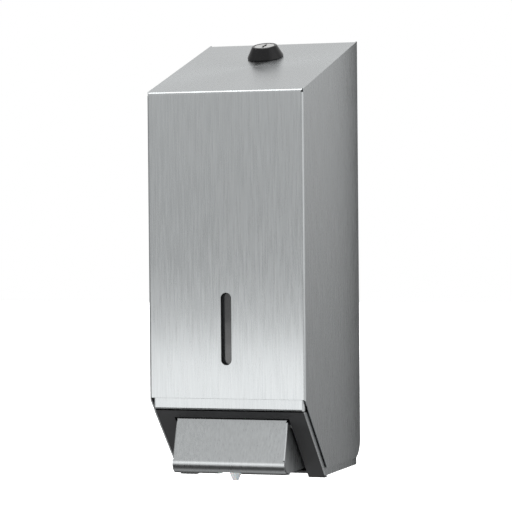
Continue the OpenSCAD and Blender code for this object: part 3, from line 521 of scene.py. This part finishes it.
def make_lever(steel):
    """The push lever: top return, leaning face, rolled lip with its notch, and side flanges."""
    top_y, top_h = LEVER_TOP
    lip_y = top_y - LEVER_FACE_H * math.tan(LEVER_LEAN)
    lip_h = top_h - LEVER_FACE_H
    centre_y = lip_y + LIP_R * math.cos(LEVER_LEAN)
    centre_h = lip_h - LIP_R * math.sin(LEVER_LEAN)
    deselect_all()
    bpy.ops.mesh.primitive_plane_add(
        size=1, location=at(0, (top_y + lip_y) / 2, (top_h + lip_h) / 2),
        rotation=(math.radians(90) - LEVER_LEAN, 0, 0))
    bpy.context.object.scale = (2 * LEVER_X * MM, LEVER_FACE_H / math.cos(LEVER_LEAN) * MM, 1)
    lever = settle("steel_lever")
    open_mesh(lever)
    for side in (-1, 1):
        pick("EDGE", lambda p, e: near(p.x, side * LEVER_X) and near(p.y, (top_y + lip_y) / 2, 0.1))
        fold_on((0, FLANGE_DEPTH, 0))
    bend(lambda p, e: near(abs(p.x), LEVER_X) and near(p.y, (top_y + lip_y) / 2, 0.1), LEVER_FOLD,
         segments=5)
    flat_x = LEVER_X - LEVER_FOLD
    # the flanges start below the top return and end above the rolled lip
    ends = {"top": top_h - 1.9, "low": lip_h + 0.9}
    for height in ends.values():
        cut((0, 0, height), (0, 0, 1))
    drop_faces(lambda p, f: p.z > ends["top"] and abs(p.x) > flat_x)
    drop_faces(lambda p, f: p.z < ends["low"])
    # top return
    pick("EDGE", lambda p, e: along(e, 0) and near(p.z, top_h, 0.1) and near(p.x, 0))
    bpy.ops.transform.resize(value=((LEVER_X - 0.4) / flat_x, 1, 1),
                             center_override=at(0, top_y, top_h))
    fold_on((0, LEVER_RETURN, 0))
    bend(lambda p, e: along(e, 0) and near(p.z, top_h, 0.1) and near(p.y, top_y, 0.1), LEVER_BEND,
         90 + math.degrees(LEVER_LEAN) - 35.2, segments=6)
    # lip: the last of the face at full width, the roll and the flange under it
    pick("EDGE", lambda p, e: along(e, 0) and near(p.z, ends["low"]) and near(p.x, 0))
    drop = ends["low"] - lip_h
    fold_on((0, -drop * math.tan(LEVER_LEAN), -drop))
    bpy.ops.transform.resize(value=(LEVER_X / flat_x, 1, 1), center_override=at(0, lip_y, lip_h))
    bpy.ops.mesh.spin(steps=18, angle=-math.radians(90) - LEVER_LEAN,
                      center=at(0, centre_y, centre_h), axis=(1, 0, 0))
    lowest = centre_h - LIP_R
    if not pick("EDGE", lambda p, e: along(e, 0) and near(p.z, lowest, 0.05)
                and near(p.y, centre_y, 0.05)):
        raise ValueError("the lever's roll turned the wrong way")
    fold_on((0, LIP_FLANGE, 0))
    # the flanges' lower part, cut round inside the roll
    pick("EDGE", lambda p, e: along(e, 1) and near(p.z, ends["low"]) and abs(p.x) > flat_x)
    fold_on((0, 0, FLANGE_LOW - ends["low"]))

    def plates(p, f):
        return abs(p.x) > flat_x + LEVER_FOLD - 0.01

    relief = LIP_R - LEVER_T - 1
    for degrees in range(165, 255, 9):
        turn = math.radians(degrees)
        out = Vector((0, math.cos(turn), math.sin(turn)))
        cut((0, centre_y + relief * out.y, centre_h + relief * out.z), out,
            where=lambda p, f: plates(p, f) and p.z < ends["low"])
        drop_faces(lambda p, f: plates(p, f) and p.z < ends["low"]
                   and (p - Vector((p.x, centre_y, centre_h))).dot(out) > relief)
    rear_y, rear_h = FACE_SUM - 1, FLANGE_LOW + 4
    over_y, over_h = PIVOT_Y + 5, top_h - 0.5
    cut((0, rear_y, rear_h), (0, over_h - rear_h, rear_y - over_y), clear=True, where=plates)
    cut((0, rear_y, rear_h), (0, 4, -1), clear=True, where=plates)
    close_mesh()
    give_thickness(lever, LEVER_T)
    notch = new_box("notch_cutter", (-NOTCH_W / 2, centre_y - 4, 0),
                    (NOTCH_W / 2, centre_y + LIP_FLANGE + 2, lip_h - 4))
    bore(lever, notch)
    soften(lever, 0.12)
    show(lever, "lever", steel, "brushed_steel", "lever_face")


finishes = make_finishes()
make_cover(finishes["brushed_steel"])
make_base(finishes["brushed_steel"])
make_lever(finishes["brushed_steel"])

SLOTS = {row["node"]: row["material_slot"] for row in frame["record"]["subparts"]}
FINE = {
    "hinge_studs": 0.15, "lock_barrel": 0.12, "lock_nut": 0.3, "lock_washer": 0.1,
    "lock_cam": 0.2, "cam_screw": 0.2, "lock_plug": 0.15, "lock_bezel": 0.3,
    "back_plate": 0.15, "base_rivets": 0.1, "hinge_bushes": 0.2, "keeper_bracket": 0.2,
    "front_frame": 0.45, "pump_bracket": 0.5, "bracket_screws": 0.2, "floor_screws": 0.1,
    "pump_cylinder": 0.3, "cylinder_cap": 0.4, "pump_strap": 0.12, "strap_screws": 0.2,
    "pivot_rod": 0.25, "rod_clips": 0.08, "reservoir": 0.8, "reservoir_holder": 0.5,
    "mouth_collar": 0.3, "reservoir_rail": 0.3,
    "holder_rivets": 0.2, "lid_pin": 0.1, "lever_carrier": 0.3,
    "carrier_nuts": 0.15, "plunger": 0.3, "nozzle": 0.12, "refill_lid": 0.6, "lid_gasket": 0.2,
}
for node, width in FINE.items():
    refined(node, width, finishes[SLOTS[node]], SLOTS[node])
for node in ("inlet_ball", "inlet_o_ring", "pump_spring", "piston_ring", "outlet_ball"):
    nodes[node].data.materials.clear()
    nodes[node].data.materials.append(finishes[SLOTS[node]])
    select_only(nodes[node])
    bpy.ops.object.shade_smooth_by_angle(angle=math.radians(50))

# ---------- floor, light and camera ----------


def make_stage():
    deselect_all()
    bpy.ops.mesh.primitive_plane_add(size=30, location=(0, 0, -0.62))
    floor = bpy.context.object
    floor.name = "studio_floor"
    pale = Finish("pale_floor", (0.86, 0.86, 0.86), roughness=0.9)
    pale.set("Emission Color", (1, 1, 1, 1))
    pale.set("Emission Strength", 0.55)
    floor.data.materials.append(pale.material)
    floor.visible_glossy = False
    # a black card by the rear edge, which only reflections see
    deselect_all()
    bpy.ops.mesh.primitive_plane_add(size=1, location=(0.058, 0.05, -0.01),
                                     rotation=(math.radians(90), 0, 0))
    card = bpy.context.object
    card.name = "black_card"
    card.scale = (0.036, 0.32, 1)
    card.data.materials.append(Finish("card_black", (0.01, 0.01, 0.01), roughness=0.9).material)
    for ray in ("camera", "diffuse", "shadow", "transmission"):
        setattr(card, "visible_" + ray, False)


DOME_TOP = 1.5          # the strength at the top of the dome's curve


class Studio:
    """The world: white to look at, and as light a soft dome with brighter and darker parts."""

    def __init__(self):
        world = bpy.data.worlds.new("studio")
        bpy.context.scene.world = world
        world.use_nodes = True
        self.tree = world.node_tree
        self.tree.nodes.clear()
        self.direction = self.add("ShaderNodeTexCoord").outputs["Generated"]
        self.light = None

    def add(self, kind):
        return self.tree.nodes.new(kind)

    def link(self, start, end):
        self.tree.links.new(start, end)

    def dome(self, stops):
        """Brightness by height: pairs of the direction's upward part and the strength there."""
        parts = self.add("ShaderNodeSeparateXYZ")
        self.link(self.direction, parts.inputs[0])
        curve = self.add("ShaderNodeFloatCurve")
        span = self.add("ShaderNodeMapRange")
        span.inputs["From Min"].default_value = -1
        self.link(parts.outputs["Z"], span.inputs["Value"])
        self.link(span.outputs["Result"], curve.inputs["Value"])
        line = curve.mapping.curves[0]
        curve.mapping.clip_max_y = 4
        points = [((up + 1) / 2, strength / DOME_TOP) for up, strength in stops]
        line.points[0].location = points[0]
        line.points[1].location = points[-1]
        for point in points[1:-1]:
            line.points.new(*point)
        curve.mapping.update()
        scale = self.add("ShaderNodeMath")
        scale.operation = "MULTIPLY"
        self.link(curve.outputs["Value"], scale.inputs[0])
        scale.inputs[1].default_value = DOME_TOP
        self.light = scale.outputs["Value"]

    def lobe(self, direction, inner, outer, strength):
        """Adds light, or takes it away, round a direction; the angles are degrees."""
        dot = self.add("ShaderNodeVectorMath")
        dot.operation = "DOT_PRODUCT"
        self.link(self.direction, dot.inputs[0])
        dot.inputs[1].default_value = Vector(direction).normalized()
        fade = self.add("ShaderNodeMapRange")
        fade.interpolation_type = "SMOOTHSTEP"
        fade.inputs["From Min"].default_value = math.cos(math.radians(outer))
        fade.inputs["From Max"].default_value = math.cos(math.radians(inner))
        fade.inputs["To Max"].default_value = strength
        self.link(dot.outputs["Value"], fade.inputs["Value"])
        total = self.add("ShaderNodeMath")
        total.operation = "ADD"
        self.link(self.light, total.inputs[0])
        self.link(fade.outputs["Result"], total.inputs[1])
        self.light = total.outputs["Value"]

    def close(self):
        dome = self.add("ShaderNodeBackground")
        self.link(self.light, dome.inputs["Strength"])
        dome.inputs["Color"].default_value = (1, 1, 1, 1)
        seen = self.add("ShaderNodeBackground")
        seen.inputs["Color"].default_value = (1, 1, 1, 1)
        path = self.add("ShaderNodeLightPath")
        mix = self.add("ShaderNodeMixShader")
        self.link(path.outputs["Is Camera Ray"], mix.inputs["Fac"])
        self.link(dome.outputs["Background"], mix.inputs[1])
        self.link(seen.outputs["Background"], mix.inputs[2])
        output = self.add("ShaderNodeOutputWorld")
        self.link(mix.outputs["Shader"], output.inputs["Surface"])


def make_world():
    studio = Studio()
    studio.dome([(-1, 0.80), (-0.93, 0.45), (-0.8, 0.12), (-0.45, 0.12), (-0.25, 0.28),
                 (-0.1, 0.45), (0.0, 0.60), (0.1, 0.72), (0.3, 0.72), (0.6, 0.78), (1.0, 1.0)])
    studio.lobe((0, -0.25, 1), 12, 30, 3.5)             # overhead
    studio.lobe((-0.3, 0.82, 0.48), 15, 40, 0.05)       # behind, above
    studio.lobe((1, -0.25, 0.1), 15, 45, 0.50)          # right
    studio.lobe((-1, 0.25, 0), 20, 55, -0.25)           # left, darker
    studio.lobe((0.29, 0.95, -0.16), 4, 28, -0.10)      # behind, darker low down
    studio.lobe((0.30, 0.95, 0.14), 2, 12, 0.10)        # behind, brighter high up
    studio.lobe((-0.33, -0.93, 0.14), 3, 12, 0.22)      # front
    studio.lobe((-0.765, -0.19, 0.615), 5, 13, 3.5)     # strip on the left
    studio.close()


def softbox(name, place, target, width, height, power):
    light = bpy.data.lights.new(name, "AREA")
    light.shape = "RECTANGLE"
    light.size, light.size_y = width, height
    light.energy = power
    lamp = bpy.data.objects.new(name, light)
    bpy.context.scene.collection.objects.link(lamp)
    lamp.location = place
    lamp.rotation_euler = (Vector(target) - Vector(place)).to_track_quat("-Z", "Y").to_euler()
    lamp.visible_camera = False


CAMERA_TURN = (18.419, -0.965, -0.516)      # degrees about Z, up and down, and roll
CAMERA_PLACE = (0.492768, -1.543241, 0.016412)
CAMERA_LENS = 166.43


def make_camera():
    """The camera, from its place, its turn about Z, its tilt and its roll."""
    yaw, tilt, roll = (math.radians(angle) for angle in CAMERA_TURN)
    forward = Vector((-math.sin(yaw) * math.cos(tilt), math.cos(yaw) * math.cos(tilt),
                      math.sin(tilt)))
    right = Vector((math.cos(yaw), math.sin(yaw), 0))
    up = right.cross(forward)
    turned_right = math.cos(roll) * right + math.sin(roll) * up
    turned_up = -math.sin(roll) * right + math.cos(roll) * up
    camera = bpy.data.objects.new("camera", bpy.data.cameras.new("camera"))
    bpy.context.scene.collection.objects.link(camera)
    camera.data.lens = CAMERA_LENS
    camera.data.sensor_width = 36
    rows = zip(turned_right, turned_up, -forward)
    matrix = [[*row, 0] for row in rows] + [[0, 0, 0, 1]]
    for row, place in zip(matrix, CAMERA_PLACE):
        row[3] = place
    camera.matrix_world = Matrix(matrix)
    bpy.context.scene.camera = camera


make_stage()
make_world()
softbox("front_low", (-0.20, -0.72, -0.22), (-0.20, 0, -0.22), 0.9, 0.28, 0.64)
softbox("lip_light", (-0.08, -0.33, -0.112), (-0.08, 0, -0.112), 0.5, 0.07, 0.048)
softbox("left_low", (-0.25, -0.30, -0.35), (0, -0.11, -0.12), 0.12, 0.12, 1.0)
bpy.data.objects["left_low"].visible_glossy = False
make_camera()
bpy.context.scene.view_settings.view_transform = "Standard"
